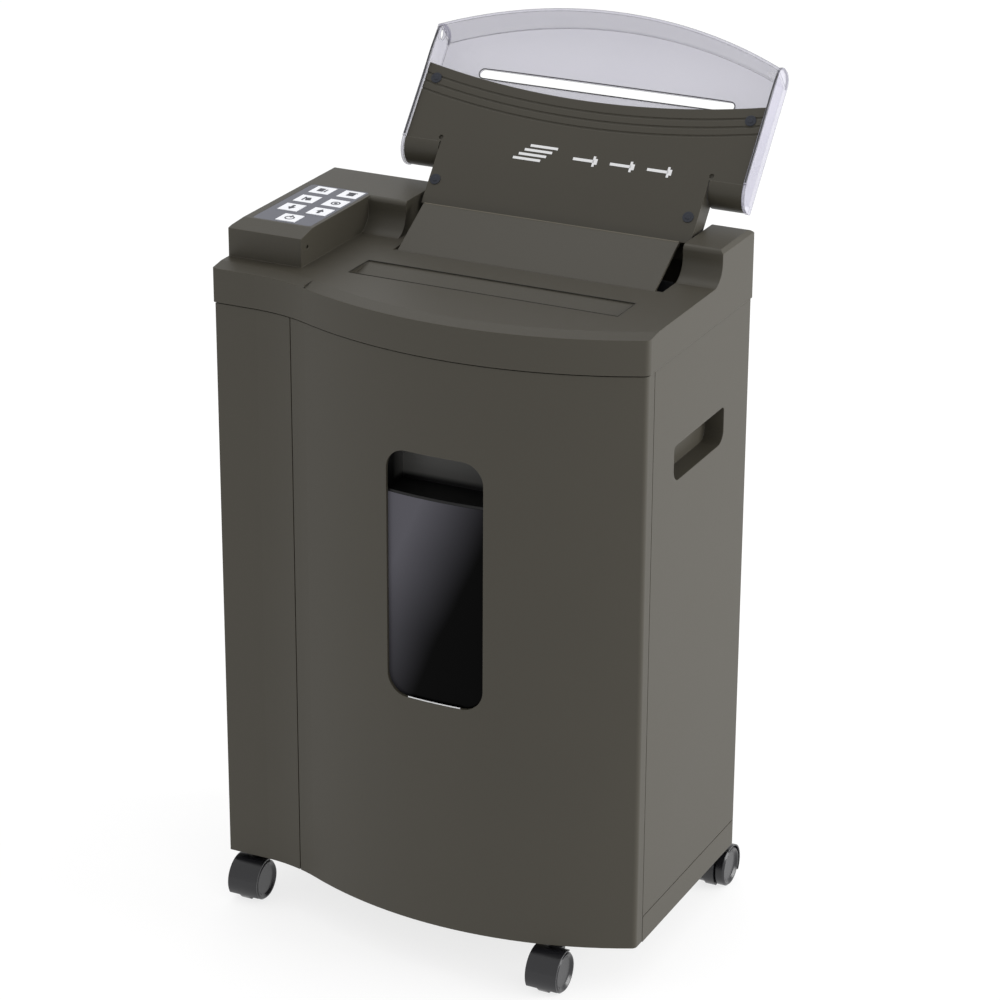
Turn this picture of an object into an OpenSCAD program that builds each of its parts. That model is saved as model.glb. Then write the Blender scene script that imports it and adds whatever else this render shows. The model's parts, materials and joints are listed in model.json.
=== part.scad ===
// Auto-feed paper shredder on casters.
// Head with cutters on top, pull-out bin below, clear-fronted lid swung open on its stops.
// Drawing axes: X to the right, Y towards the back, Z up. Y = 0 is at the front side corners and
// the casters stand at Z = floor_z; placed() then sets the machine on the origin.

/* [Head] */
// Width of the head
head_w = 372; // [366:1:380]
// Depth of the sides, from the front corner to the back
side_d = 201.5; // [198:0.5:206]
// Height of the tray where the lid lies when shut
tray_z = 557; // [555:0.5:559]
// Height of the blocks each side of the tray
top_z = 584; // [583:0.5:586]
// Wall of the mouldings
wall = 2.5; // [2:0.1:3]

/* [Front curve] */
// How far the front bulges
bulge = 38; // [34:1:42]
// Radius of the bulge
bulge_r = 329; // [320:1:340]
// Radius of the hollow that runs into the bulge
blend_r = 130; // [100:1:140]

/* [Body] */
// Underside of the body
body_z0 = 43.5; // [43:0.5:45]
// Joint line between body and head
seam_z = 527; // [525:0.5:529]
// How far the head overhangs the body
overhang = 1.2; // [1:0.1:2]
// Left edge of the pull-out front
bin_edge_x = -115.5; // [-118:0.5:-110]
// Width of the window
window_w = 84; // [70:1:90]
// Middle of the window
window_x = 25; // [20:0.5:30]
// Bottom of the window opening
window_z0 = 240.5; // [235:0.5:250]
// Top of the window opening
window_z1 = 447.5; // [446:0.5:449]
// Height of the finger grip above the pane
grip_h = 38; // [34:1:40]
// Width of a carrying handle pocket
handle_w = 98; // [90:1:105]
// Height of a carrying handle pocket
handle_h = 30; // [28:1:32]

/* [Lid and ramp] */
// Angle the lid stands open
lid_open = 130; // [120:1:132]
// Angle the ramp rises with the lid open
ramp_rise = 30; // [26:1:31]
// Reach of the lid from its hinge to the front
lid_reach = 181; // [176:1:183]

/* [Cutters] */
// Radius of a cutting disc
disc_r = 22.5; // [22:0.1:22.6]
// Discs on each shaft
disc_n = 20; // [16:1:20]
// Spacing of the discs
disc_pitch = 12; // [12:0.5:12]

/* [Casters] */
// Radius of a caster wheel
wheel_r = 17; // [16:0.5:17]
// Trail of the wheels behind the swivel
trail = 13; // [12:0.5:14]

/* [Hidden] */
$fn = 64;

// Colours
olive = [0.27, 0.26, 0.24];
dark = [0.13, 0.13, 0.14];
slate = [0.22, 0.23, 0.30];
clear = [0.83, 0.84, 0.90, 0.5];
steel = [0.62, 0.63, 0.65];
bronze = [0.65, 0.48, 0.28];
nylon = [0.87, 0.85, 0.78];
board_green = [0.10, 0.35, 0.20];

// Front curve: a straight part, a hollow and the bulge, all tangent
bulge_x = head_w/2 - sqrt(pow(bulge_r, 2) - pow(bulge_r - bulge, 2));
bulge_y = bulge_r - bulge;
blend_x = bulge_x - sqrt(pow(bulge_r + blend_r, 2) - pow(bulge_y + blend_r, 2));
corner_r = 6;
left_corner_r = 1.5;
back_corner_r = 2;
corner_x = head_w/2 - corner_r;
corner_y = bulge_y - sqrt(pow(bulge_r - corner_r, 2) - pow(corner_x - bulge_x, 2));

// Layout across the machine
path_x0 = -76;
path_x1 = 145.3;
ramp_gap = 3;
block_x0 = -121;
lid_x0 = -118.5;
lid_x1 = 181.2;
lid_mid_x = (lid_x0 + lid_x1)/2;
neck_x0 = -84.5;
neck_x1 = 149.6;
neck_gap = 3;
opening_x0 = neck_x0 - neck_gap;
opening_x1 = neck_x1 + neck_gap;

// Layout front to back
hinge_y = 170;
hinge_z = 573;
ramp_y = 102.5;
ramp_z = 553.2;
ramp_pin_r = 2.5;
pin_r = 3;
ramp_len = 53;
neck_y = 119.5;
roll_r = 16;
roll_step = 0.6;
hollow_r = 17.5;
face_y = neck_y + hollow_r;
well_y0 = 98;
well_y1 = 184;
back_bar_z = hinge_z - 2;
block_y0 = 26;
slot_x0 = -84;
slot_x1 = 144.5;
slot_y0 = 33;
slot_y1 = 66;
lid_front_r = 385;
lid_lean = 4.5;
lid_wall = 2.4;
lid_tip_y = hinge_y - 155;
arm_t = 3;
lid_low_z = 558.3;
liner_z = 560.5;
liner_t = 2.2;

// Control panel
key_size = 17;
key_gap = 0.4;
key_col_x = [-161, -135.5];
key_row_y = [134, 108.5, 83];
power_x = -149;
power_y = 58.5;
overlay_x0 = -176.5;
overlay_x1 = -124.5;
overlay_y0 = 47;
overlay_y1 = 145;
film_t = 0.6;

// Cutter block
cutter_z = 488;
front_y = 27;
gear_m = 2;
cutter_teeth = 21;
rear_y = front_y + gear_m*cutter_teeth;
shaft_r = 8;
pickup_r = 18;
running = 0.05;
plate_t = 3;
plate_x0 = -99;
plate_x1 = 156;
deck_z = 436;
deck_t = 3;

// Gear train: motor pinion, compound gear, drive wheel on the rear cutter
drive_teeth = 40;
small_teeth = 14;
big_teeth = 44;
pinion_teeth = 12;
fine_m = 1.5;
compound_angle = 10;
compound_d = gear_m*(drive_teeth + small_teeth)/2;
compound_y = rear_y + compound_d*cos(compound_angle);
compound_z = cutter_z + compound_d*sin(compound_angle);
motor_angle = -40;
motor_d = fine_m*(big_teeth + pinion_teeth)/2;
motor_y = compound_y + motor_d*cos(motor_angle);
motor_z = compound_z + motor_d*sin(motor_angle);
motor_r = 25;

// Pick-up train on the right: take-off gear, transfer gear, pick-up gear
take_teeth = 20;
transfer_teeth = 24;
pickup_angle = 26.15;
pickup_d = fine_m*(take_teeth + transfer_teeth);
transfer_y = rear_y + pickup_d/2*cos(pickup_angle);
transfer_z = cutter_z + pickup_d/2*sin(pickup_angle);
pickup_y = rear_y + pickup_d*cos(pickup_angle);
pickup_z = cutter_z + pickup_d*sin(pickup_angle);

// Bin
panel_t = 3;
panel_return_y = 13;
bin_gap = 0.9;
seam_gap = 1.1;
skirt_y = panel_return_y + 1.5;
tub_x0 = -104;
tub_x1 = 176;
tub_z0 = 61.3;
tub_z1 = 414;
tub_y1 = 186;
base_top_z = 61;
skirt_z = 66;

// Casters: swivel places [x, y, heading]
floor_z = 3;
hood_r = 19;
hood_half_w = 13.5;
wheel_w = 8.4;
axle_half = 9.4;
stem_r = 5;
front_left = [-167, 20.5, 0];
front_right = [120.5, -7, 0];
rear_left = [-170, 190, 180];
rear_right = [170, 190, 180];

// Whole machine, front of the foremost caster to the top of the open lid
swung_y = hinge_y - (lid_reach - lid_lean)*cos(lid_open) + (top_z - hinge_z)*sin(lid_open);
mid_y = (front_right[1] - trail - hood_r + swung_y)/2;

// ---------- shared shapes ----------

module placed() {
    translate([0, -mid_y, -floor_z]) children();
}

// Turns a shape drawn flat so that it runs along X through (y, z)
module along_x(x, y, z) {
    translate([x, y, z]) rotate([90, 0, 90]) children();
}

// A profile in Y and Z, pushed along X
module bar_x(x0, x1) {
    translate([x0, 0, 0]) rotate([90, 0, 90]) linear_extrude(height = x1 - x0) children();
}

module rod_x(x0, x1, y, z, r) {
    along_x(x0, y, z) cylinder(h = x1 - x0, r = r);
}

module box(x0, x1, y0, y1, z0, z1) {
    translate([x0, y0, z0]) cube([x1 - x0, y1 - y0, z1 - z0]);
}

module slab(z0, z1) {
    translate([0, 0, z0]) linear_extrude(height = z1 - z0) children();
}

// A square corner of radius r at (x, y), to be cut away; sx and sy point outwards
module corner_waste(x, y, r, sx, sy) {
    difference() {
        translate([min(x - sx*r, x + sx), min(y - sy*r, y + sy)]) square(r + 1);
        translate([x - sx*r, y - sy*r]) circle(r = r);
    }
}

// Outline seen from above, moved inwards by inset. The curves cross by a hair where they meet, so
// that they don't just touch.
module outline(inset = 0) {
    cross = 0.02;
    lap = 5;
    half = head_w/2 - inset;
    join = (bulge_r - inset)/(bulge_r + blend_r);
    join_x = bulge_x + join*(blend_x - bulge_x);
    join_y = bulge_y - join*(bulge_y + blend_r);
    difference() {
        union() {
            translate([-half, inset]) square([2*half, side_d - 2*inset]);
            intersection() {
                translate([bulge_x, bulge_y]) circle(r = bulge_r - inset, $fn = 180);
                translate([join_x - lap, -bulge]) square([half - join_x + lap, bulge + inset + 1]);
            }
            difference() {
                translate([blend_x, join_y]) square([join_x - blend_x, inset + 1 - join_y]);
                translate([blend_x, -blend_r]) circle(r = blend_r + inset + cross, $fn = 120);
            }
        }
        if (inset < left_corner_r) corner_waste(-half, inset, left_corner_r - inset, -1, -1);
        if (inset < corner_r) translate([corner_x, corner_y]) difference() {
            polygon([[0, 0], [20, 0], [20, -20],
                20*[corner_x - bulge_x, corner_y - bulge_y]/(bulge_r - corner_r)]);
            circle(r = corner_r - inset);
        }
        if (inset < back_corner_r)
            for (s = [-1, 1]) corner_waste(s*half, side_d - inset, back_corner_r - inset, s, 1);
    }
}

// Involute of a circle of radius r at roll angle t
function involute(r, t) = r*[cos(t) + t*PI/180*sin(t), sin(t) - t*PI/180*cos(t)];
function turned(p, a) = [p[0]*cos(a) - p[1]*sin(a), p[0]*sin(a) + p[1]*cos(a)];
function roll_angle(base, r) = sqrt(pow(r/base, 2) - 1)*180/PI;

// Flat outline of a spur gear with a little backlash, one tooth on the X axis
module gear_outline(teeth, m) {
    pitch = teeth*m/2;
    base = pitch*cos(20);
    tip = pitch + 0.85*m;
    root = pitch - 1.2*m;
    half_tooth = 90/teeth*0.94 + roll_angle(base, pitch) - atan(roll_angle(base, pitch)*PI/180);
    steps = 4;
    first = roll_angle(base, max(base, root + 0.2*m));
    last = roll_angle(base, tip);
    flank = [for (i = [0:steps]) turned(involute(base, first + (last - first)*i/steps), -half_tooth)];
    foot = turned([root, 0], -half_tooth - 0.5);
    side = concat([foot], flank);
    tooth = concat(side, [for (i = [len(side) - 1:-1:0]) [side[i][0], -side[i][1]]]);
    polygon([for (k = [0:teeth - 1]) each [for (p = tooth) turned(p, k*360/teeth)]]);
}

// Turn of a driven gear so that it meshes; toward is the angle from driver to driven
function mesh_turn(toward, turn, teeth, driven) =
    toward + 180 - 360/driven*(0.5 - (toward - turn)*teeth/360);

module gear(x0, x1, y, z, teeth, m, turn, bore) {
    along_x(x0, y, z) linear_extrude(height = x1 - x0) difference() {
        rotate(turn) gear_outline(teeth, m);
        circle(r = bore);
    }
}

compound_turn = mesh_turn(compound_angle, 0, drive_teeth, small_teeth);
transfer_turn = mesh_turn(pickup_angle, 0, take_teeth, transfer_teeth);

// ---------- head ----------

// Profile of a block: hollow front that the lid's roll nests in, rounded top edges
module block_profile() {
    difference() {
        polygon([[neck_y, tray_z - 1], [side_d, tray_z - 1], [side_d, top_z],
            [face_y, top_z], [face_y, tray_z + hollow_r], [neck_y, tray_z + hollow_r]]);
        translate([neck_y, tray_z + hollow_r - 0.5]) circle(r = hollow_r);
        corner_waste(face_y, top_z, 4, -1, 1);
        corner_waste(side_d, top_z, 9, 1, 1);
    }
}

module block_hollow() {
    inner_y = face_y + wall + 1;
    polygon([[inner_y - 2, tray_z - wall - 1], [side_d - wall, tray_z - wall - 1],
        [side_d - wall, top_z - 9], [side_d - 9, top_z - wall], [inner_y + 3, top_z - wall],
        [inner_y, tray_z + hollow_r]]);
}

module control_profile() {
    difference() {
        polygon([[block_y0, tray_z - 1], [side_d, tray_z - 1], [side_d, top_z],
            [block_y0 + 19, top_z], [block_y0, top_z - 4]]);
        corner_waste(side_d, top_z, 9, 1, 1);
    }
}

module control_hollow() {
    polygon([[block_y0 + wall, tray_z - wall - 1], [side_d - wall, tray_z - wall - 1],
        [side_d - wall, top_z - 9], [side_d - 9, top_z - wall],
        [block_y0 + 19, top_z - wall], [block_y0 + wall, top_z - 4 - wall]]);
}

// Long edge taken off at 45 degrees along Y
module edge_waste(x, z, s, size) {
    translate([x, side_d + 1, z]) rotate([90, 0, 0]) linear_extrude(height = side_d + bulge + 2)
        polygon([[s*1, 1], [-s*size, 1], [-s*size, 0], [0, -size], [s*1, -size]]);
}

// Gentle fall round the front of the tray
module front_fall() {
    fall = 2.2;
    run = 14;
    join_x = bulge_x + bulge_r/(bulge_r + blend_r)*(blend_x - bulge_x);
    intersection() {
        translate([bulge_x, bulge_y, 0]) rotate_extrude($fn = 180)
            polygon([[bulge_r - run, tray_z], [bulge_r + 2, tray_z - fall*(run + 2)/run],
                [bulge_r + 2, tray_z + 1], [bulge_r - run, tray_z + 1]]);
        box(join_x, head_w/2 + 1, -bulge - 1, 40, tray_z - 10, tray_z + 10);
    }
    intersection() {
        translate([blend_x, -blend_r, 0]) rotate_extrude($fn = 120)
            polygon([[blend_r - 2, tray_z - fall*(run + 2)/run], [blend_r + run, tray_z],
                [blend_r + run, tray_z + 1], [blend_r - 2, tray_z + 1]]);
        box(blend_x, join_x, -bulge - 1, 20, tray_z - 10, tray_z + 10);
    }
    bar_x(-head_w/2 - 1, blend_x)
        polygon([[-2, tray_z - fall*(run + 2)/run], [run, tray_z], [run, tray_z + 1], [-2, tray_z + 1]]);
}

module key_places() {
    for (y = key_row_y) for (x = key_col_x) translate([x, y]) children();
    translate([power_x, power_y]) children();
}

// Blocks, control block and the low bar behind the lid, all solid
module head_blocks() {
    bar_x(-head_w/2, block_x0) control_profile();
    bar_x(block_x0 - 1, opening_x0) block_profile();
    bar_x(opening_x1, head_w/2) block_profile();
    box(opening_x0 - 1, opening_x1 + 1, well_y1, side_d, tray_z - 1, back_bar_z);
}

// Room inside the blocks, open to the room under the tray
module head_room() {
    slab(seam_z - 1, tray_z - wall) outline(wall);
    intersection() {
        union() {
            bar_x(-head_w/2, block_x0 - wall) control_hollow();
            bar_x(block_x0 - wall - 1, opening_x0 - wall) block_hollow();
            bar_x(opening_x1 + wall, head_w/2) block_hollow();
            box(opening_x0 - wall - 1, opening_x1 + wall + 1, well_y1 + wall, side_d - wall,
                tray_z - wall - 1, back_bar_z - wall);
        }
        slab(seam_z, top_z) outline(wall);
    }
}

// Shallow tray of the hand-feed slot with its narrow throat; grow gives the wall round it
module slot_profile(grow = 0) {
    polygon([[slot_y0 - grow, tray_z + 1 - grow], [slot_y1 + grow, tray_z + 1 - grow],
        [slot_y1 + grow, tray_z - 0.8 - grow], [slot_y0 + 7.5 + grow, tray_z - 5 - grow],
        [slot_y0 + 14.5 + grow, seam_z - 1 + grow], [slot_y0 + 8 - grow, seam_z - 1 + grow],
        [slot_y0 + 0.5 - grow, tray_z - 7 - grow], [slot_y0 - grow, tray_z - 7 - grow/2]]);
}

module head_cover() {
    color(olive) placed() difference() {
        union() {
            difference() {
                union() {
                    difference() {
                        slab(seam_z, tray_z) outline();
                        front_fall();
                    }
                    intersection() {
                        head_blocks();
                        slab(seam_z, top_z + 1) outline();
                    }
                }
                head_room();
            }
            bar_x(slot_x0 - wall, slot_x1 + wall) slot_profile(wall);
            // lugs that carry the ramp
            for (x = [path_x0 - ramp_gap - wall, opening_x1])
                box(x, x + wall, ramp_y - 6, ramp_y + 6, ramp_z - 6, tray_z - 1);
            // bosses behind the hinge pins
            for (x = [opening_x0 - 5, opening_x1 + wall - 1])
                rod_x(x, x + 3.5, hinge_y, hinge_z, 6);
        }
        for (s = [-1, 1]) edge_waste(s*head_w/2, top_z, s, 3);
        // well for the ramp, wider between the blocks for the neck of the lid
        box(path_x0 - ramp_gap, opening_x1, well_y0, well_y1, tray_z - 5, top_z + 5);
        box(opening_x0, opening_x1, face_y - 0.5, well_y1, tray_z - 5, top_z + 5);
        bar_x(slot_x0, slot_x1) slot_profile();
        rod_x(path_x0 - 10, opening_x1 + 10, ramp_y, ramp_z, ramp_pin_r + running);
        rod_x(opening_x0 - 10, opening_x1 + 10, hinge_y, hinge_z, pin_r);
        // small hole in the control block's inner side
        rod_x(block_x0 - 5, block_x0 + 1, 36, 571, 1.6);
        slab(top_z - film_t, top_z + 1) overlay_outline(0.2);
        slab(top_z - 5, top_z + 1) key_places() square(key_size + 2*key_gap, center = true);
    }
}

module overlay_outline(grow = 0) {
    r = 3;
    hull() for (x = [overlay_x0 + r, overlay_x1 - r]) for (y = [overlay_y0 + r, overlay_y1 - r])
        translate([x, y]) circle(r = r + grow, $fn = 32);
}

module control_overlay() {
    color(slate) placed() slab(top_z - film_t, top_z) difference() {
        overlay_outline();
        key_places() square(key_size + 2*key_gap, center = true);
    }
}

module indicator_lenses() {
    color("white") placed() for (y = [key_row_y[0], key_row_y[1]]) for (x = key_col_x)
        translate([x, y, 0]) slab(top_z - wall - 0.5, top_z)
            square(key_size + 2*key_gap - 0.2, center = true);
}

// Square cap on a stem that reaches down to the board
module key(x, y) {
    board_top = 571.6;
    color("white") placed() translate([x, y, 0]) {
        slab(top_z - 3.4, top_z + 0.4) square(key_size, center = true);
        slab(board_top + 1.4, top_z - 3) circle(r = 3);
    }
}

module power_key() key(power_x, power_y);
module forward_key() key(key_col_x[1], key_row_y[2]);
module reverse_key() key(key_col_x[0], key_row_y[2]);

// ---------- lid and ramp ----------

// Everything on the lid is drawn shut and then swung open
module swung_open() {
    translate([0, hinge_y, hinge_z]) rotate([-lid_open, 0, 0])
        translate([0, -hinge_y, -hinge_z]) children();
}

// Plan of the clear skin, shut: wide with a curved front, and a tongue towards the hinge
module skin_outline() {
    tongue = 12;
    front_y = hinge_y - lid_reach;
    intersection() {
        translate([lid_x0, front_y]) square([lid_x1 - lid_x0, neck_y + 8 - front_y]);
        translate([lid_mid_x, front_y + lid_front_r]) circle(r = lid_front_r - lid_lean, $fn = 240);
    }
    translate([neck_x0 + tongue, neck_y]) square([neck_x1 - neck_x0 - 2*tongue, hinge_y - 5 - neck_y]);
}

// Front wall of the clear cover, which leans outwards to its free edge
module lid_front_wall() {
    front_y = hinge_y - lid_reach;
    r = lid_front_r;
    intersection() {
        translate([lid_mid_x, front_y + r, 0]) rotate_extrude($fn = 240)
            polygon([[r, lid_low_z], [r - lid_lean, top_z], [r - lid_lean - lid_wall, top_z],
                [r - lid_wall, lid_low_z]]);
        box(lid_x0, lid_x1, front_y - 1, 60, lid_low_z, top_z);
    }
}

// Side wall in Y and Z: rounded tip in front, and an end that follows the roll
module lid_side_profile() {
    difference() {
        translate([lid_tip_y, lid_low_z]) square([neck_y - lid_tip_y, top_z - lid_low_z]);
        corner_waste(lid_tip_y, lid_low_z, 10, -1, -1);
        corner_waste(lid_tip_y, top_z, 10, -1, 1);
    }
    intersection() {
        translate([neck_y, liner_z + roll_r - roll_step]) circle(r = roll_r + 0.8);
        translate([neck_y - 1, lid_low_z]) square([roll_r + 3, top_z - lid_low_z]);
    }
}

module lid_cover() {
    slot_y = hinge_y - 122.6;
    color(clear) placed() swung_open() difference() {
        union() {
            slab(top_z - lid_wall, top_z) skin_outline();
            lid_front_wall();
            for (x = [lid_x0, lid_x1 - lid_wall]) bar_x(x, x + lid_wall) lid_side_profile();
        }
        // hand-feed slot in the skin, above the slot in the tray
        slab(top_z - lid_wall - 1, top_z + 1) for (s = [-1, 1])
            translate([lid_mid_x + s*108, slot_y]) circle(r = 4.3);
        box(lid_mid_x - 108, lid_mid_x + 108, slot_y - 4.3, slot_y + 4.3,
            top_z - lid_wall - 1, top_z + 1);
        // finger hole in the left wall
        rod_x(lid_x0 - 1, lid_x0 + lid_wall + 1, hinge_y - 145.8, hinge_z - 6, 4.5);
    }
}

// Panel that the sheets lie on, with a hollow front edge, a roll under each wing and hinge arms
module lid_liner() {
    edge_r = 718;
    edge_y = hinge_y - 102.2;
    side_gap = lid_wall + 0.2;
    slit = 0.8;
    color(olive) placed() swung_open() difference() {
        union() {
            slab(liner_z, liner_z + liner_t) difference() {
                union() {
                    translate([lid_x0 + side_gap, 40])
                        square([lid_x1 - lid_x0 - 2*side_gap, neck_y - 40]);
                    translate([neck_x0, neck_y - 1])
                        square([neck_x1 - neck_x0, hinge_y + 4 - neck_y + 1]);
                }
                translate([lid_mid_x, edge_y - edge_r]) circle(r = edge_r, $fn = 360);
            }
            for (x = [[lid_x0 + side_gap, neck_x0 - slit], [neck_x1 + slit, lid_x1 - side_gap]])
                bar_x(x[0], x[1]) intersection() {
                    translate([neck_y, liner_z + roll_r - roll_step]) difference() {
                        circle(r = roll_r);
                        circle(r = roll_r - liner_t);
                    }
                    translate([neck_y, liner_z - 1])
                        square([roll_r + 1, top_z - lid_wall - 0.2 - liner_z + 1]);
                }
            for (x = [neck_x0, neck_x1 - arm_t]) bar_x(x, x + arm_t) {
                translate([neck_y, liner_z]) square([hinge_y - neck_y, 17.5]);
                translate([hinge_y, hinge_z]) circle(r = 9);
            }
        }
        // three shallow grooves that follow the front edge
        for (d = [8, 15, 22]) translate([lid_mid_x, edge_y - edge_r, liner_z - 1])
            rotate_extrude($fn = 360) translate([edge_r + d, 0]) square([1.8, 1.7]);
        // blind holes at the corners of the neck
        for (x = [neck_x0 - 1, neck_x1 + 1]) translate([x, hinge_y - 54.1, liner_z - 1])
            cylinder(h = 2.6, r = 2);
        bumper_places() cylinder(h = 4, r = 2 + running);
        rod_x(neck_x0 - 1, neck_x1 + 1, hinge_y, hinge_z, pin_r + running);
    }
}

module bumper_places() {
    for (s = [-1, 1]) {
        translate([lid_mid_x + s*137.4, hinge_y - 104.4, liner_z - 1]) children();
        translate([lid_mid_x + s*110.2, hinge_y - 17.6, liner_z - 1]) children();
    }
}

module lid_bumpers() {
    color(slate) placed() swung_open() bumper_places() {
        cylinder(h = 3, r = 2);
        translate([0, 0, 0.4]) cylinder(h = 0.6, r = 4.5);
    }
}

module lid_pins() {
    color(steel) placed() {
        rod_x(opening_x0 - 6, neck_x0 + arm_t + 1.5, hinge_y, hinge_z, pin_r);
        rod_x(neck_x1 - arm_t - 1.5, opening_x1 + 6, hinge_y, hinge_z, pin_r);
    }
}

// Sprung flap that guides the front of the stack; drawn flat, then raised
module feed_ramp() {
    color(olive) placed() translate([0, ramp_y, ramp_z]) rotate([ramp_rise, 0, 0]) {
        bar_x(path_x0, path_x1) difference() {
            union() {
                circle(r = 3.5);
                translate([0, 1.3]) square([ramp_len - 2, 2.2]);
                translate([ramp_len - 2, 1.5]) circle(r = 2);
            }
            translate([5, -1.2]) square([ramp_len - 12, 2.5]);
        }
        rod_x(path_x0 - ramp_gap - wall, path_x0 + 1, 0, 0, ramp_pin_r);
        rod_x(path_x1 - 1, opening_x1 + wall, 0, 0, ramp_pin_r);
    }
}

// ---------- paper path and cutters ----------

// Sloping floor the sheets slide down, with windows for the rollers
module feed_guide() {
    t = 2;
    color(dark) placed() difference() {
        bar_x(path_x0, path_x1) polygon([[137, 552.5], [118.5, 528], [100, 516], [66, 514],
            [66, 514 - t], [100.5, 516 - t], [120, 526.7], [139, 551.5]]);
        for (x = [-20, 30, 80]) box(x - 14, x + 14, 105, 128, 500, 545);
    }
}

module pickup_shaft() {
    color(steel) placed() rod_x(plate_x0, 171, pickup_y, pickup_z, 5);
}

module pickup_rollers() {
    width = 22;
    color(dark) placed() for (x = [-20, 30, 80]) along_x(x - width/2, pickup_y, pickup_z)
        difference() {
            cylinder(h = width, r = pickup_r);
            translate([0, 0, -1]) cylinder(h = width + 2, r = 5 + running);
        }
}

module pickup_gear() {
    color(nylon) placed() gear(163, 170, pickup_y, pickup_z, take_teeth, fine_m,
        mesh_turn(pickup_angle, transfer_turn, transfer_teeth, take_teeth), 5 + running);
}

module transfer_gear() {
    color(nylon) placed() gear(163, 170, transfer_y, transfer_z, transfer_teeth, fine_m,
        transfer_turn, 4 + running);
}

module takeoff_gear() {
    color(nylon) placed() gear(163, 170, rear_y, cutter_z, take_teeth, fine_m, 0, shaft_r + running);
}

// Fixed axles of the two loose gears
module gear_axles() {
    color(steel) placed() {
        rod_x(plate_x0, plate_x0 + plate_t, compound_y, compound_z, 6);
        rod_x(-124, plate_x0 + 1, compound_y, compound_z, 4);
        rod_x(plate_x1, plate_x1 + plate_t, transfer_y, transfer_z, 6);
        rod_x(plate_x1 + plate_t - 1, 172, transfer_y, transfer_z, 4);
    }
}

module side_plate(x, back) {
    foot_z = deck_z + deck_t + 0.2;
    color(steel) placed() difference() {
        bar_x(x, x + plate_t) polygon([[-3, foot_z], [back, foot_z], [back, 500], [150, 530],
            [100, 530], [88, 523], [-3, 523]]);
        for (y = [front_y, rear_y]) rod_x(x - 1, x + plate_t + 1, y, cutter_z, 11);
        rod_x(x - 1, x + plate_t + 1, pickup_y, pickup_z, 7.5);
        for (p = tie_rod_places) rod_x(x - 1, x + plate_t + 1, p[0], p[1], 4 + running);
        children();
    }
}

tie_rod_places = [[5, 447], [5, 514], [110, 464]];

module left_side_plate() {
    x = plate_x0;
    side_plate(x, 188) {
        rod_x(x - 1, x + plate_t + 1, compound_y, compound_z, 6);
        rod_x(x - 1, x + plate_t + 1, motor_y, motor_z, 8);
        for (a = [0, 180]) rod_x(x - 1, x + plate_t + 1, motor_y + 15*cos(a), motor_z + 15*sin(a), 2);
    }
}

module right_side_plate() {
    x = plate_x1;
    side_plate(x, 152) rod_x(x - 1, x + plate_t + 1, transfer_y, transfer_z, 6);
}

module bush(x, y, z, bore, r) {
    along_x(x - 1, y, z) difference() {
        union() {
            cylinder(h = plate_t + 2, r = r);
            cylinder(h = 1, r = r + 1.5);
        }
        translate([0, 0, -1]) cylinder(h = plate_t + 4, r = bore);
    }
}

module shaft_bushes() {
    color(bronze) placed() for (x = [plate_x0, plate_x1]) {
        for (y = [front_y, rear_y]) bush(x, y, cutter_z, shaft_r + running, 11);
        bush(x, pickup_y, pickup_z, 5 + running, 7.5);
    }
}

module tie_rods() {
    color(steel) placed() for (p = tie_rod_places)
        rod_x(plate_x0 - 6, plate_x1 + plate_t + 6, p[0], p[1], 4);
}

module tie_rod_nuts() {
    color(steel) placed() for (p = tie_rod_places) for (x = [plate_x0 - 5.2, plate_x1 + plate_t + 0.2])
        along_x(x, p[0], p[1]) difference() {
            cylinder(h = 5, r = 7, $fn = 6);
            translate([0, 0, -1]) cylinder(h = 7, r = 4 + running);
        }
}

module front_cutter_shaft() {
    color(steel) placed() rod_x(-107.5, plate_x1 + plate_t + 3, front_y, cutter_z, shaft_r);
}

module rear_cutter_shaft() {
    color(steel) placed() rod_x(-115.5, 171, rear_y, cutter_z, shaft_r);
}

// Discs with three hooked teeth each, staggered along the shaft
module cutter_discs(x0, y) {
    thick = 5.4;
    color(steel) placed() for (i = [0:disc_n - 1]) along_x(x0 + i*disc_pitch - thick/2, y, cutter_z)
        rotate(i*17) linear_extrude(height = thick) difference() {
            circle(r = disc_r);
            circle(r = shaft_r + running);
            for (a = [0, 120, 240]) rotate(a)
                polygon([[disc_r - 3, -0.5], [disc_r + 1, 0], [disc_r + 1, 7], [disc_r - 1, 6.5]]);
        }
}

module front_cutter_discs() cutter_discs(-84, front_y);
module rear_cutter_discs() cutter_discs(-84 + disc_pitch/2, rear_y);

// Comb whose fingers scrape shreds from between the discs; side is -1 in front, 1 behind
module stripper(x0, y, side) {
    far_y = y + side*(disc_r + 3);
    near_y = y + side*(shaft_r + 1);
    color(dark) placed() {
        box(plate_x0 + plate_t + 0.2, plate_x1 - 0.2,
            min(far_y, far_y + side*4), max(far_y, far_y + side*4), cutter_z - 9, cutter_z + 9);
        for (i = [0:disc_n - 1])
            box(x0 + i*disc_pitch - 2.6, x0 + i*disc_pitch + 2.6,
                min(near_y, far_y + side), max(near_y, far_y + side),
                cutter_z - 4, cutter_z + 4);
    }
}

module front_stripper() stripper(-84 + disc_pitch/2, front_y, -1);
module rear_stripper() stripper(-84, rear_y, 1);

module front_cutter_gear() {
    color(steel) placed() gear(-107, -101, front_y, cutter_z, cutter_teeth, gear_m,
        mesh_turn(180, 0, cutter_teeth, cutter_teeth), shaft_r + running);
}

module rear_cutter_gear() {
    color(steel) placed() gear(-107, -101, rear_y, cutter_z, cutter_teeth, gear_m, 0, shaft_r + running);
}

module drive_wheel() {
    color(nylon) placed() gear(-115, -109, rear_y, cutter_z, drive_teeth, gear_m, 0, shaft_r + running);
}

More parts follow.
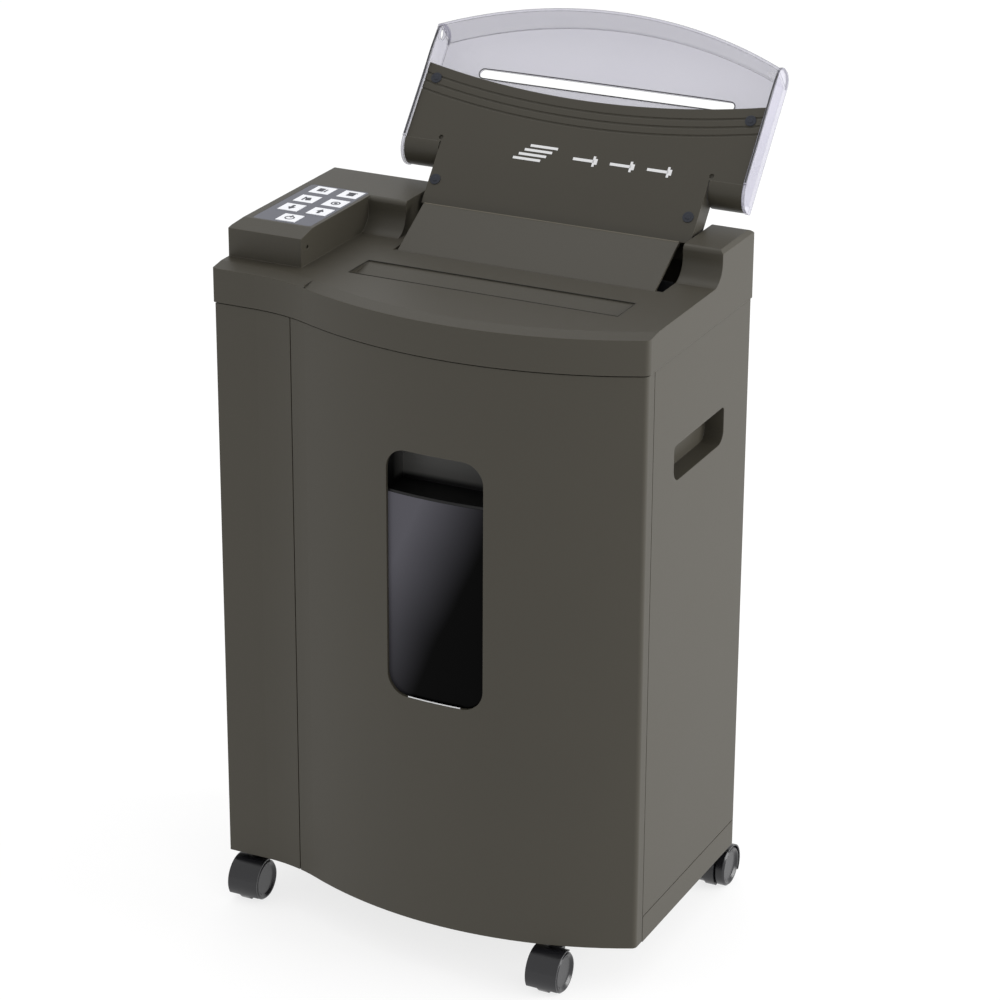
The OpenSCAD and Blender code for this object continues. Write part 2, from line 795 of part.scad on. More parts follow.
module compound_gear() {
    color(nylon) placed() {
        gear(-115.6, -109, compound_y, compound_z, small_teeth, gear_m, compound_turn, 4 + running);
        gear(-121, -115.6, compound_y, compound_z, big_teeth, fine_m, 0, 4 + running);
    }
}

module motor() {
    color(steel) placed() difference() {
        union() {
            rod_x(plate_x0 + plate_t + 0.2, 10, motor_y, motor_z, motor_r);
            rod_x(plate_x0 + 0.5, plate_x0 + plate_t + 1, motor_y, motor_z, 7.9);
            rod_x(10, 16, motor_y, motor_z, 8);
        }
        rod_x(plate_x0 - 1, plate_x0 + 16, motor_y, motor_z, 3 + running);
        for (a = [0, 180])
            rod_x(plate_x0, plate_x0 + 11, motor_y + 15*cos(a), motor_z + 15*sin(a), 2 + running);
    }
}

// Pinion cut on the end of the motor's shaft
module motor_pinion() {
    color(steel) placed() {
        gear(-121, -114.5, motor_y, motor_z, pinion_teeth, fine_m,
            mesh_turn(motor_angle, 0, big_teeth, pinion_teeth), 2);
        rod_x(-121, plate_x0 + 14, motor_y, motor_z, 3);
    }
}

module chassis_plate() {
    drop_x0 = -90;
    drop_x1 = 150;
    color(steel) placed() slab(deck_z, deck_z + deck_t) difference() {
        intersection() {
            outline(9);
            union() {
                translate([-160, 0.5]) square([320, 190]);
                // tabs over the ledges
                for (y = [20, 165]) translate([-172, y]) square([344, 21]);
            }
        }
        translate([drop_x0, 6]) square([drop_x1 - drop_x0, 84]);
        chassis_screw_places() circle(r = 2.2);
    }
}

module chassis_screw_places() {
    for (x = [-166.5, 166.5]) for (y = [31, 175]) translate([x, y]) children();
}

// Screws of the chassis plate and of the motor
module machine_screws() {
    color(steel) placed() {
        chassis_screw_places() translate([0, 0, deck_z + deck_t + 0.1]) {
            cylinder(h = 2.6, r = 4);
            translate([0, 0, -deck_t - 5]) cylinder(h = deck_t + 5.5, r = 2);
        }
        for (a = [0, 180]) translate([0, motor_y + 15*cos(a), motor_z + 15*sin(a)]) {
            rod_x(plate_x0 - 2.6, plate_x0, 0, 0, 3.6);
            rod_x(plate_x0 - 1, plate_x0 + 9, 0, 0, 2);
        }
    }
}

// ---------- electrics ----------

module control_board() {
    board_z = 568;
    color(board_green) placed() {
        box(-178, -127, 50, 152, board_z, board_z + 1.6);
        // switches under the keys
        for (p = [[power_x, power_y], [key_col_x[0], key_row_y[2]], [key_col_x[1], key_row_y[2]]])
            translate([p[0], p[1], board_z + 1.5]) {
                translate([-3, -3, 0]) cube([6, 6, 2]);
            }
        // lamps under the lenses
        for (y = [key_row_y[0], key_row_y[1]]) for (x = key_col_x)
            translate([x, y, board_z + 1.5]) cylinder(h = 5, r = 2.5);
        // relay and capacitor hang below
        box(-172, -150, 60, 78, board_z - 14, board_z + 0.1);
        translate([-138, 120, board_z - 16]) cylinder(h = 16.1, r = 6);
    }
}

switch_x = 120;
switch_z = 490;
gland_x = -120;
gland_z = 490;
back_y = side_d - overhang;
switch_y = back_y - 5.5;

module switch_housing() {
    color(dark) placed() difference() {
        union() {
            box(switch_x - 12.5, switch_x + 12.5, back_y + 0.1, back_y + 1.4, switch_z - 15, switch_z + 15);
            box(switch_x - 10.5, switch_x + 10.5, back_y - 16, back_y + 0.2,
                switch_z - 12.5, switch_z + 12.5);
        }
        box(switch_x - 8.6, switch_x + 8.6, back_y - 12, back_y + 3, switch_z - 10, switch_z + 10);
        rod_x(switch_x - 9.8, switch_x + 9.8, switch_y, switch_z, 1.5 + running);
    }
}

// Drawn at rest in its off position, tilted 9 degrees
module switch_rocker() {
    color(dark) placed() translate([0, switch_y, switch_z]) rotate([-9, 0, 0]) {
        bar_x(switch_x - 8, switch_x + 8)
            polygon([[-4, -4], [1, -8.4], [6.5, -8.4], [5, 0], [6.5, 8.4], [1, 8.4], [-4, 4]]);
        rod_x(switch_x - 9.6, switch_x + 9.6, 0, 0, 1.5);
    }
}

// Collar that the mains lead comes out of
module cord_gland() {
    color(dark) placed() translate([gland_x, back_y, gland_z]) rotate([-90, 0, 0]) difference() {
        union() {
            translate([0, 0, 0.1]) cylinder(h = 1.4, r = 10);
            translate([0, 0, -3.4]) cylinder(h = 3.6, r = 7.3);
            translate([0, 0, -10]) cylinder(h = 6.7, r = 9);
        }
        translate([0, 0, -11]) cylinder(h = 14, r = 4);
    }
}

// Microswitch that stops the cutters when the bin is out
module bin_switch() {
    color(dark) placed() {
        box(-150, -122, 20, 30, deck_z + deck_t + 0.2, deck_z + deck_t + 16);
        box(-148, -124, 18.6, 20.1, deck_z + deck_t + 4, deck_z + deck_t + 13);
    }
}

// ---------- body and bin ----------

module handle_outline(grow = 0) {
    r = 10;
    z0 = 422;
    y0 = 53.5;
    hull() {
        for (y = [y0 + r, y0 + handle_w - r]) translate([y, z0 + r]) circle(r = r + grow, $fn = 32);
        for (y = [y0 + 4, y0 + handle_w - 4]) translate([y, z0 + handle_h - 4])
            circle(r = 4 + grow, $fn = 32);
    }
}

module body_shell() {
    ledge_x = 156;
    outer = head_w/2 - overhang;
    depth = 16;
    color(olive) placed() difference() {
        union() {
            slab(body_z0 + 1, seam_z - seam_gap) difference() {
                outline(overhang);
                outline(overhang + panel_t);
                // the pull-out front closes this side
                translate([bin_edge_x - bin_gap/2, -bulge - 1])
                    square([head_w, bulge + 1 + panel_return_y + bin_gap]);
            }
            // handle pockets
            for (s = [-1, 1])
                bar_x(min(s*outer, s*(outer - depth - wall)), max(s*outer, s*(outer - depth - wall)))
                handle_outline(wall);
            // ledges for the chassis plate
            for (s = [-1, 1]) for (y = [18, 163])
                box(min(s*ledge_x, s*(outer - 1)), max(s*ledge_x, s*(outer - 1)), y, y + 25,
                    deck_z - 6.2, deck_z - 0.2);
        }
        for (s = [-1, 1])
            bar_x(min(s*(outer + 1), s*(outer - depth)), max(s*(outer + 1), s*(outer - depth)))
            handle_outline();
        // room for the base below the side and back walls
        box(-head_w, head_w, skirt_y - 0.3, head_w, body_z0 - 1, skirt_z + 0.9);
        chassis_screw_places() translate([0, 0, deck_z - 10]) cylinder(h = 11, r = 2 + running);
        // back wall: switch, gland and cooling slots
        box(switch_x - 11, switch_x + 11, back_y - 10, back_y + 1, switch_z - 13, switch_z + 13);
        translate([gland_x, back_y - 10, gland_z]) rotate([-90, 0, 0]) cylinder(h = 12, r = 7.5);
        for (i = [0:8]) for (z = [460, 486])
            box(-90 + i*12, -86 + i*12, back_y - 10, back_y + 1, z, z + 20);
    }
}

module base_plate() {
    rim = overhang + panel_t;
    color(olive) placed() difference() {
        union() {
            // floor and front apron behind the front panels
            slab(base_top_z - 3, base_top_z) difference() {
                outline(rim + 0.4);
            }
            slab(body_z0, base_top_z - 1) difference() {
                outline(rim + 0.4);
                outline(rim + 3);
            }
            // skirt that shows below the side and back walls
            slab(body_z0, skirt_z) intersection() {
                difference() {
                    outline(overhang);
                    outline(rim + 1);
                }
                translate([-head_w, skirt_y]) square([2*head_w, side_d]);
            }
            // ribs and caster bosses
            for (x = [-120, -40, 40])
                box(x - 1.2, x + 1.2, 10, side_d - rim - 2, body_z0 + 4, base_top_z - 1);
            for (y = [60, 140]) box(-head_w/2 + rim + 2, head_w/2 - rim - 2, y - 1.2, y + 1.2,
                body_z0 + 4, base_top_z - 1);
            intersection() {
                for (p = [front_left, front_right, rear_left, rear_right])
                    translate([p[0], p[1], body_z0]) cylinder(h = base_top_z - body_z0 - 1, r = 9);
                slab(body_z0, base_top_z) outline(rim + 0.4);
            }
        }
        for (p = [front_left, front_right, rear_left, rear_right])
            translate([p[0], p[1], body_z0 - 1]) cylinder(h = 14, r = stem_r + running);
    }
}

module window_outline(grow = 0) {
    r = 18;
    hull() for (s = [-1, 1]) for (z = [window_z0 + r, window_z1 - r])
        translate([window_x + s*(window_w/2 - r), z]) circle(r = r + grow, $fn = 48);
}

// Front panel of the bin with its return round the right corner
module bin_front() {
    color(olive) placed() difference() {
        slab(body_z0 + 1, seam_z - seam_gap) intersection() {
            difference() {
                outline(overhang);
                outline(overhang + panel_t);
            }
            translate([bin_edge_x + bin_gap/2, -bulge - 1]) square([head_w, bulge + 1 + panel_return_y]);
        }
        translate([0, 5, 0]) rotate([90, 0, 0]) linear_extrude(height = 60) window_outline();
    }
}

module window_pane() {
    pane_z1 = window_z1 - grip_h;
    color([0.08, 0.08, 0.10, 0.9]) placed() slab(window_z0 - 4, pane_z1) intersection() {
        difference() {
            outline(overhang + panel_t + 0.1);
            outline(overhang + panel_t + 2.1);
        }
        translate([window_x - window_w/2 - 4, -60]) square([window_w + 8, 60]);
    }
}

// Finger recess above the pane, open to the front
module grip_pocket() {
    x0 = window_x - window_w/2 - 3;
    x1 = window_x + window_w/2 + 3;
    z0 = window_z1 - grip_h + 0.3;
    z1 = window_z1 + 3;
    deep = -1;
    color(dark) placed() difference() {
        intersection() {
            box(x0, x1, -60, deep, z0, z1);
            slab(z0 - 1, z1 + 1) outline(overhang + panel_t + 0.1);
        }
        box(x0 + 2, x1 - 2, -61, deep - 2, z0 + 2, z1 - 2);
    }
}

module bin_tub() {
    color(dark) placed() slab(tub_z0, tub_z1) difference() {
        tub_outline(0);
        tub_outline(wall);
    }
    color(dark) placed() slab(tub_z0, tub_z0 + wall) tub_outline(0);
}

// The tub is open to the front, where the panel closes it
module tub_outline(inset) {
    intersection() {
        outline(overhang + panel_t + 0.2);
        translate([tub_x0 + inset, -60]) square([tub_x1 - tub_x0 - 2*inset, tub_y1 - inset + 60]);
    }
}

// ---------- casters ----------

module caster_at(p) {
    color(dark) placed() translate([p[0], p[1], floor_z]) rotate([0, 0, p[2]]) children();
}

module fork(p) {
    base = body_z0 - floor_z;
    caster_at(p) difference() {
        union() {
            translate([0, 0, base - 5]) cylinder(h = 14, r = stem_r);
            translate([0, 0, base - 7]) cylinder(h = 6.7, r = 6.5);
            // web between the wheels
            bar_x(-4.5, 4.5) intersection() {
                union() {
                    translate([-trail, wheel_r]) circle(r = hood_r - 0.5);
                    translate([-trail, wheel_r + 3]) square([trail + 5, hood_r - 4.5]);
                }
                translate([-60, 2]) square([70, base]);
            }
            // hood over the front and top of both wheels
            bar_x(-hood_half_w, hood_half_w) difference() {
                translate([-trail, wheel_r]) circle(r = hood_r);
                translate([-trail, wheel_r]) circle(r = wheel_r + 0.8);
                translate([-trail - 30, wheel_r - 10 - 30]) square([60, 30]);
                translate([-trail + 7, -1]) square([60, 60]);
            }
        }
        rod_x(-6, 6, -trail, wheel_r, pin_r + running);
    }
}

module axle(p) {
    caster_at(p) rod_x(-axle_half, axle_half, -trail, wheel_r, pin_r);
}

// Two wheels on one axle; their outer faces are dished and closed
module wheels(p) {
    w = wheel_w/2;
    caster_at(p) for (s = [-1, 1]) translate([s*(5 + w), -trail, wheel_r])
        rotate([0, s*90, 0]) rotate_extrude()
            polygon([[pin_r + running, -w], [wheel_r - 1, -w], [wheel_r, -w + 1], [wheel_r, w - 1.5],
                [wheel_r - 1.5, w], [wheel_r - 2.5, w], [wheel_r - 5, w - 1.8], [0, w - 1.8],
                [0, w - 3.6], [pin_r + running, w - 3.6]]);
}

module front_left_fork() fork(front_left);
module front_left_axle() axle(front_left);
module front_left_wheels() wheels(front_left);
module front_right_fork() fork(front_right);
module front_right_axle() axle(front_right);
module front_right_wheels() wheels(front_right);
module rear_left_fork() fork(rear_left);
module rear_left_axle() axle(rear_left);
module rear_left_wheels() wheels(rear_left);
module rear_right_fork() fork(rear_right);
module rear_right_axle() axle(rear_right);
module rear_right_wheels() wheels(rear_right);

head_cover();
control_overlay();
indicator_lenses();
power_key();
forward_key();
reverse_key();
lid_cover();
lid_liner();
lid_bumpers();
lid_pins();
feed_ramp();
feed_guide();
pickup_shaft();
pickup_rollers();
pickup_gear();
transfer_gear();
takeoff_gear();
gear_axles();
left_side_plate();
right_side_plate();
shaft_bushes();
tie_rods();
tie_rod_nuts();
front_cutter_shaft();
front_cutter_discs();
rear_cutter_shaft();
rear_cutter_discs();
front_stripper();
rear_stripper();
front_cutter_gear();
rear_cutter_gear();
drive_wheel();
compound_gear();
motor();
motor_pinion();
chassis_plate();
machine_screws();
control_board();
switch_housing();
switch_rocker();
cord_gland();
bin_switch();
body_shell();
base_plate();
bin_front();
bin_tub();
window_pane();
grip_pocket();
front_left_fork();
front_left_axle();
front_left_wheels();
front_right_fork();
front_right_axle();
front_right_wheels();
rear_left_fork();
rear_left_axle();
rear_left_wheels();
rear_right_fork();
rear_right_axle();
rear_right_wheels();
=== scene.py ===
# %% [markdown]
# # An auto-feed paper shredder
#
# The shredder is a tall plastic cabinet on casters. The head holds the cutters and carries a clear lid,
# shown swung open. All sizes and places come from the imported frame, so a looks-only piece is placed
# from the boxes of its neighbours and never by eye. Everything is in metres.

import json
import math

import bpy
from mathutils import Matrix, Vector


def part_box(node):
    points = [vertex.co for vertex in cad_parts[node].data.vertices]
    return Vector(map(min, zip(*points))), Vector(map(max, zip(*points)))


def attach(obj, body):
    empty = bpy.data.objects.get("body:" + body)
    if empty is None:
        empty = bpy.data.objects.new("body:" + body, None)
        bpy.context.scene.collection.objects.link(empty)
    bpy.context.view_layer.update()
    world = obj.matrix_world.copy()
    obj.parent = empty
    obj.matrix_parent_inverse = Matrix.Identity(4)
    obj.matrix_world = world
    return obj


MM = 0.001
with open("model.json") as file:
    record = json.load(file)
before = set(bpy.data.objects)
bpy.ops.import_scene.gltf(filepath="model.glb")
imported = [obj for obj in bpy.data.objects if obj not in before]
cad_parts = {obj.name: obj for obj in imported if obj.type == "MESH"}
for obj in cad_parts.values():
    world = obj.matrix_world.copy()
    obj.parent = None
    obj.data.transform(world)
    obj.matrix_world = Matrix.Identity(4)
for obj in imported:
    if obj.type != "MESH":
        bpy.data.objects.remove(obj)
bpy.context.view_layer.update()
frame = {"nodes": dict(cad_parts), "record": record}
slot_of = {part["node"]: part["material_slot"] for part in frame["record"]["subparts"]}

# %% [markdown]
# ## Camera
#
# The machine is seen from far away through a long lens, so that upright edges stay nearly parallel. The
# camera is placed by its turn round the object, its height angle and its distance from a point in the
# middle of the cabinet.

# %% Place the camera
CAMERA_TURN = math.radians(25.98)
CAMERA_RISE = math.radians(22.39)
CAMERA_ROLL = math.radians(0.30)
CAMERA_DISTANCE = 2.834
CAMERA_LENS = 125.1
AIM = Vector((-0.0073, 0.0200, 0.3358))


def camera_axes():
    """Right, up and backward directions of the camera."""
    right = Vector((math.cos(CAMERA_TURN), math.sin(CAMERA_TURN), 0))
    back = Vector((math.sin(CAMERA_TURN) * math.cos(CAMERA_RISE),
                   -math.cos(CAMERA_TURN) * math.cos(CAMERA_RISE), math.sin(CAMERA_RISE)))
    up = back.cross(right)
    rolled = math.cos(CAMERA_ROLL) * right + math.sin(CAMERA_ROLL) * up
    return rolled, back.cross(rolled), back


def add_camera():
    right, up, back = camera_axes()
    camera = bpy.data.objects.new("camera", bpy.data.cameras.new("camera"))
    bpy.context.scene.collection.objects.link(camera)
    turn = Matrix((right, up, back)).transposed().to_4x4()
    camera.matrix_world = Matrix.Translation(AIM + CAMERA_DISTANCE * back) @ turn
    camera.data.lens = CAMERA_LENS
    camera.data.sensor_width = 36
    camera.data.clip_end = 30
    bpy.context.scene.camera = camera
    return camera


camera = add_camera()
print("camera at", [round(v, 3) for v in camera.location])

# %% [markdown]
# ## Floor and light
#
# Bright, even light from all round gives the pale background. One broad lamp on the right makes that
# side of the cabinet lighter than the front, which is what tells the eye where the corner is.

# %% Set the stage
FLOOR_HALF = 12.0


def paint_world(colour, strength):
    world = bpy.data.worlds.new("studio")
    bpy.context.scene.world = world
    world.use_nodes = True
    background = world.node_tree.nodes["Background"]
    background.inputs["Color"].default_value = (*colour, 1)
    background.inputs["Strength"].default_value = strength


def add_lamp(name, place, size, power):
    """A square soft box that faces the middle of the cabinet."""
    lamp = bpy.data.objects.new(name, bpy.data.lights.new(name, "AREA"))
    bpy.context.scene.collection.objects.link(lamp)
    lamp.data.size = size
    lamp.data.energy = power
    lamp.location = place
    lamp.rotation_euler = (AIM - Vector(place)).to_track_quat("-Z", "Y").to_euler()
    return lamp


WORLD_STRENGTH = 0.92
RIGHT_WATTS, TOP_WATTS = 98, 14
paint_world((1.0, 1.0, 1.0), WORLD_STRENGTH)
add_lamp("right_box", (3.2, 0.9, 1.1), 2.0, RIGHT_WATTS)
add_lamp("top_box", (-0.6, 0.5, 3.2), 1.6, TOP_WATTS)
bpy.context.scene.view_settings.view_transform = "Standard"

bpy.ops.object.select_all(action="DESELECT")
bpy.ops.mesh.primitive_plane_add(size=2 * FLOOR_HALF, location=(0, 0, 0))
floor = bpy.context.object
floor.name = "floor"

# %% [markdown]
# ## Writing shader maths as expressions
#
# A node tree is hard to read when every sum is a call. A small class wraps an output socket and turns
# the usual operators into Math nodes, so a pattern is written the way it would be on paper. A second
# class holds the material that is being made and adds every other kind of node.

# %% Sockets that can be added and multiplied
class Wire:
    """An output socket that takes part in Python arithmetic."""

    def __init__(self, finish, socket):
        self.finish, self.socket = finish, socket

    def math(self, operation, *others):
        node = self.finish.tree.nodes.new("ShaderNodeMath")
        node.operation = operation
        for place, value in enumerate((self, *others)):
            self.finish.feed(node.inputs[place], value)
        return Wire(self.finish, node.outputs[0])

    def __add__(self, other):
        return self.math("ADD", other)

    def __sub__(self, other):
        return self.math("SUBTRACT", other)

    def __mul__(self, other):
        return self.math("MULTIPLY", other)

    def __truediv__(self, other):
        return self.math("DIVIDE", other)

    def __pow__(self, other):
        return self.math("POWER", other)

    def __rsub__(self, other):
        return (self * -1).math("ADD", other)

    __radd__ = __add__
    __rmul__ = __mul__

    def clamped(self):
        return self.math("MAXIMUM", 0.0).math("MINIMUM", 1.0)

    def step(self, low, high):
        """0 below low, 1 above high, straight between."""
        return ((self - low) / (high - low)).clamped()


class Finish:
    """A material under construction."""

    def __init__(self, name):
        self.material = bpy.data.materials.new(name)
        self.material.use_nodes = True
        self.tree = self.material.node_tree
        self.shader = self.tree.nodes["Principled BSDF"]

    def feed(self, socket, value):
        if isinstance(value, Wire):
            self.tree.links.new(value.socket, socket)
        else:
            socket.default_value = value

    def node(self, kind, values=None, output=0, **settings):
        """Any node: its settings first, then its sockets by name."""
        node = self.tree.nodes.new(kind)
        for key, value in settings.items():
            setattr(node, key, value)
        for name, value in (values or {}).items():
            self.feed(node.inputs[name], value)
        return Wire(self, node.outputs[output])

    def set(self, **values):
        """Sockets of the main shader, with underscores for spaces."""
        for name, value in values.items():
            self.feed(self.shader.inputs[name.replace("_", " ")], value)
        return self

    def place(self):
        return self.node("ShaderNodeTexCoord", output="Object")

    def axes(self):
        """X, Y and Z of the point, as three wires."""
        split = self.tree.nodes.new("ShaderNodeSeparateXYZ")
        self.feed(split.inputs[0], self.place())
        return [Wire(self, split.outputs[axis]) for axis in "XYZ"]

    def noise(self, scale, detail=2.0, roughness=0.5):
        return self.node("ShaderNodeTexNoise", {"Vector": self.place(), "Scale": scale, "Detail": detail,
                                                "Roughness": roughness})

    def mix(self, share, first, second):
        """A blend of two colours."""
        node = self.tree.nodes.new("ShaderNodeMix")
        node.data_type = "RGBA"
        self.feed(node.inputs[0], share)
        self.feed(node.inputs[6], first)
        self.feed(node.inputs[7], second)
        return Wire(self, node.outputs[2])

    def soft_edges(self, radius):
        """A normal that rolls over the edges, as a moulded radius does."""
        return self.node("ShaderNodeBevel", {"Radius": radius}, samples=4)

    def edge_share(self, rolled):
        """How much of an edge the point lies on, from 0 on a flat to 1."""
        flat = self.node("ShaderNodeNewGeometry", output="Normal")
        turn = self.tree.nodes.new("ShaderNodeVectorMath")
        turn.operation = "DOT_PRODUCT"
        self.feed(turn.inputs[0], rolled)
        self.feed(turn.inputs[1], flat)
        return (1.0 - Wire(self, turn.outputs["Value"])).step(0.01, 0.25)

    def bump(self, height, strength, distance, normal=None):
        values = {"Height": height, "Strength": strength, "Distance": distance}
        if normal:
            values["Normal"] = normal
        return self.node("ShaderNodeBump", values)


def shade(colour, factor):
    """A colour made lighter or darker."""
    return (*[channel * factor for channel in colour[:3]], 1.0)


# %% [markdown]
# ## Moulded plastic
#
# The shells are moulded in steel tools whose walls were spark-eroded, which leaves a fine, even grain.
# Up close the colour drifts a little. The edges, where hands rub, are polished to a lower roughness, and
# they carry a painted highlight that makes them paler, as light caught on a moulded radius would. The grain
# goes into the bump and the roughness, the drift and the painted edge highlight into the colour.

# %% A finish for moulded parts
def moulded(name, colour, roughness, grain=0.12, drift=0.06, edge=0.5, radius=0.9 * MM, specular=0.3):
    finish = Finish(name)
    fine = finish.noise(1500, detail=3)
    broad = finish.noise(9, detail=3)
    rolled = finish.soft_edges(radius)
    painted_edge_light = finish.edge_share(rolled)
    body = finish.mix(broad, shade(colour, 1 - drift), shade(colour, 1 + drift))
    speck = finish.mix(fine.step(0.3, 0.7) * 0.35, body, shade(colour, 0.82))
    # The paler edge colour is a painted highlight; edge sets its strength.
    finish.set(Base_Color=finish.mix(painted_edge_light * edge, speck, shade(colour, 2.3)),
               Roughness=(roughness + 0.10 * (fine - 0.5) + 0.05 * (broad - 0.5) - 0.08 * painted_edge_light).clamped(),
               Normal=finish.bump(fine, grain, 0.12 * MM, rolled),
               Specular_IOR_Level=specular)
    return finish.material


OLIVE = (0.0475, 0.0428, 0.0318)
BLACK = (0.012, 0.012, 0.014)
moulded_olive = moulded("moulded_olive", OLIVE, 0.46)
moulded_black = moulded("moulded_black", BLACK, 0.42)
# The casters get a stronger painted edge highlight.
caster_black = moulded("caster_black", (0.010, 0.010, 0.012), 0.24, grain=0.05, edge=0.7, specular=0.5)
# Dark grey for painted shade along the clear lid's edges.
painted_edge_shade = moulded("painted_edge_shade", (0.030, 0.030, 0.036), 0.25, grain=0.02, edge=0.0, radius=0.2 * MM,
                     specular=0.5)
# Pale olive for a painted highlight along an edge.
painted_edge_highlight = moulded("painted_edge_highlight", shade(OLIVE, 2.6)[:3], 0.30, grain=0.03, edge=0.0,
                        radius=0.2 * MM)
seam_shadow = moulded("seam_shadow", shade(OLIVE, 0.30)[:3], 0.6, grain=0.03, edge=0.0, radius=0.2 * MM)
ink = moulded("ink", (0.030, 0.032, 0.045), 0.40, radius=0.2 * MM)
# White for print, and for a painted highlight along the window sill.
print_and_highlight_white = moulded("print_and_highlight_white", (0.75, 0.75, 0.76), 0.45, edge=0.0, radius=0.2 * MM)
red_wire = moulded("red_wire", (0.35, 0.03, 0.02), 0.38, radius=0.2 * MM)
bumper_rubber = moulded("bumper_rubber", (0.022, 0.025, 0.034), 0.62, grain=0.3)
nylon = moulded("nylon", (0.66, 0.63, 0.54), 0.40, specular=0.45)
print("moulded finishes made")

# %% [markdown]
# ## Metal, film, board and clear plastic
#
# Steel plate shows the long fine lines of rolling, so its noise is stretched along one axis. Turned
# parts get rings by the same trick. The panel film is printed ink under a satin face. The lid is clear
# plastic with a faint lavender tint: it lets the light through and only its gloss shows. The edges of its
# walls get painted shade, darker and less clear, standing in for light leaving them sideways.

# %% Finishes for the other parts
def metal(name, colour, roughness, stretch=(1.0, 40.0, 40.0)):
    finish = Finish(name)
    lined = finish.node("ShaderNodeMapping", {"Vector": finish.place(), "Scale": stretch})
    lines = finish.node("ShaderNodeTexNoise", {"Vector": lined, "Scale": 60.0, "Detail": 4.0})
    stain = finish.noise(25, detail=3)
    rolled = finish.soft_edges(0.4 * MM)
    finish.set(Base_Color=finish.mix(stain, shade(colour, 0.86), shade(colour, 1.08)), Metallic=1.0,
               Roughness=(roughness + 0.22 * (lines - 0.5) + 0.08 * (stain - 0.5)).clamped(),
               Normal=finish.bump(lines, 0.10, 0.05 * MM, rolled))
    return finish.material


def printed_film(name, colour, roughness):
    finish = Finish(name)
    weave = finish.noise(2200, detail=1)
    broad = finish.noise(30, detail=2)
    finish.set(Base_Color=finish.mix(broad, shade(colour, 0.9), shade(colour, 1.1)),
               Roughness=(roughness + 0.1 * (weave - 0.5)).clamped(),
               Normal=finish.bump(weave, 0.06, 0.03 * MM), Specular_IOR_Level=0.4)
    return finish.material


def circuit_board(name):
    finish = Finish(name)
    x, y, z = finish.axes()
    tracks = (x * 900).math("SINE").math("ABSOLUTE").step(0.93, 0.98)
    pads = finish.node("ShaderNodeTexVoronoi", {"Vector": finish.place(), "Scale": 240.0}).step(0.12, 0.10)
    green = finish.mix(tracks, (0.008, 0.060, 0.022, 1), (0.020, 0.150, 0.050, 1))
    finish.set(Base_Color=finish.mix(pads, green, (0.60, 0.58, 0.52, 1)), Roughness=0.35)
    return finish.material


def clear_plastic(name, tint, cover):
    """Lets most light through; cover is how much of it the tint holds back."""
    finish = Finish(name)
    haze = finish.noise(14, detail=3)
    scuff = finish.noise(600, detail=2)
    rolled = finish.soft_edges(1.1 * MM)
    painted_edge_light = finish.edge_share(rolled)
    # The edge mask paints the wall edges dark and less clear: painted shade.
    finish.set(Base_Color=finish.mix(painted_edge_light, (*tint, 1), (0.06, 0.06, 0.08, 1)),
               Roughness=(0.12 + 0.08 * haze).clamped(),
               Alpha=(cover + 0.05 * (haze - 0.5) + 0.6 * painted_edge_light).clamped(),
               Normal=finish.bump(scuff, 0.02, 0.03 * MM, rolled), Specular_IOR_Level=0.5)
    return finish.material


def smoked_pane(name, low, high):
    """Dark glossy pane with a painted reflection: paler in its upper left, with a slanted border."""
    finish = Finish(name)
    x, y, z = finish.axes()
    rise = (z - low.z) / (high.z - low.z)
    across = (x - low.x) / (high.x - low.x)
    streak = finish.noise(9, detail=2)
    # pale is the painted reflection, running from black to lavender grey.
    pale = (0.90 * rise + 1.10 * (1.0 - across) - 0.75 + 0.15 * (streak - 0.5)).step(0.05, 0.85)
    finish.set(Base_Color=finish.mix(pale ** 1.2, (0.0012, 0.0012, 0.0012, 1), (0.088, 0.086, 0.100, 1)),
               Roughness=(0.16 + 0.08 * streak).clamped(), Specular_IOR_Level=0.03)
    return finish.material


def grip_grey(name, low, high):
    """Grey pocket with painted light and shade: paler on the left of its back wall, as if lit there; its floor
    and its front edges are painted dark, as if in shade.
    """
    finish = Finish(name)
    x, y, z = finish.axes()
    across = ((x - low.x) / (high.x - low.x)).clamped()
    rise = ((z - low.z) / (high.z - low.z)).clamped()
    depth = ((y - low.y) / (high.y - low.y)).clamped()
    grain = finish.noise(1400, detail=2)
    # lit is painted light and shade: paler where light would reach, dark on the floor and at the front.
    lit = (1.15 - across * 0.55) * depth.step(0.45, 0.95) * rise.step(0.10, 0.20)
    finish.set(Base_Color=finish.mix(lit.clamped(), (0.0015, 0.0015, 0.0016, 1), (0.085, 0.084, 0.080, 1)),
               Roughness=(0.40 + 0.1 * (grain - 0.5)).clamped(),
               Normal=finish.bump(grain, 0.1, 0.1 * MM, finish.soft_edges(0.8 * MM)), Specular_IOR_Level=0.25)
    return finish.material


def pale_floor(name):
    """A white sweep that glows a little, so that shadows stay light."""
    finish = Finish(name)
    cloud = finish.noise(0.7, detail=2)
    finish.set(Base_Color=finish.mix(cloud, (0.25, 0.25, 0.25, 1), (0.27, 0.27, 0.27, 1)), Roughness=0.8,
               Emission_Color=(0.95, 0.95, 0.95, 1), Emission_Strength=0.80, Specular_IOR_Level=0.0)
    return finish.material


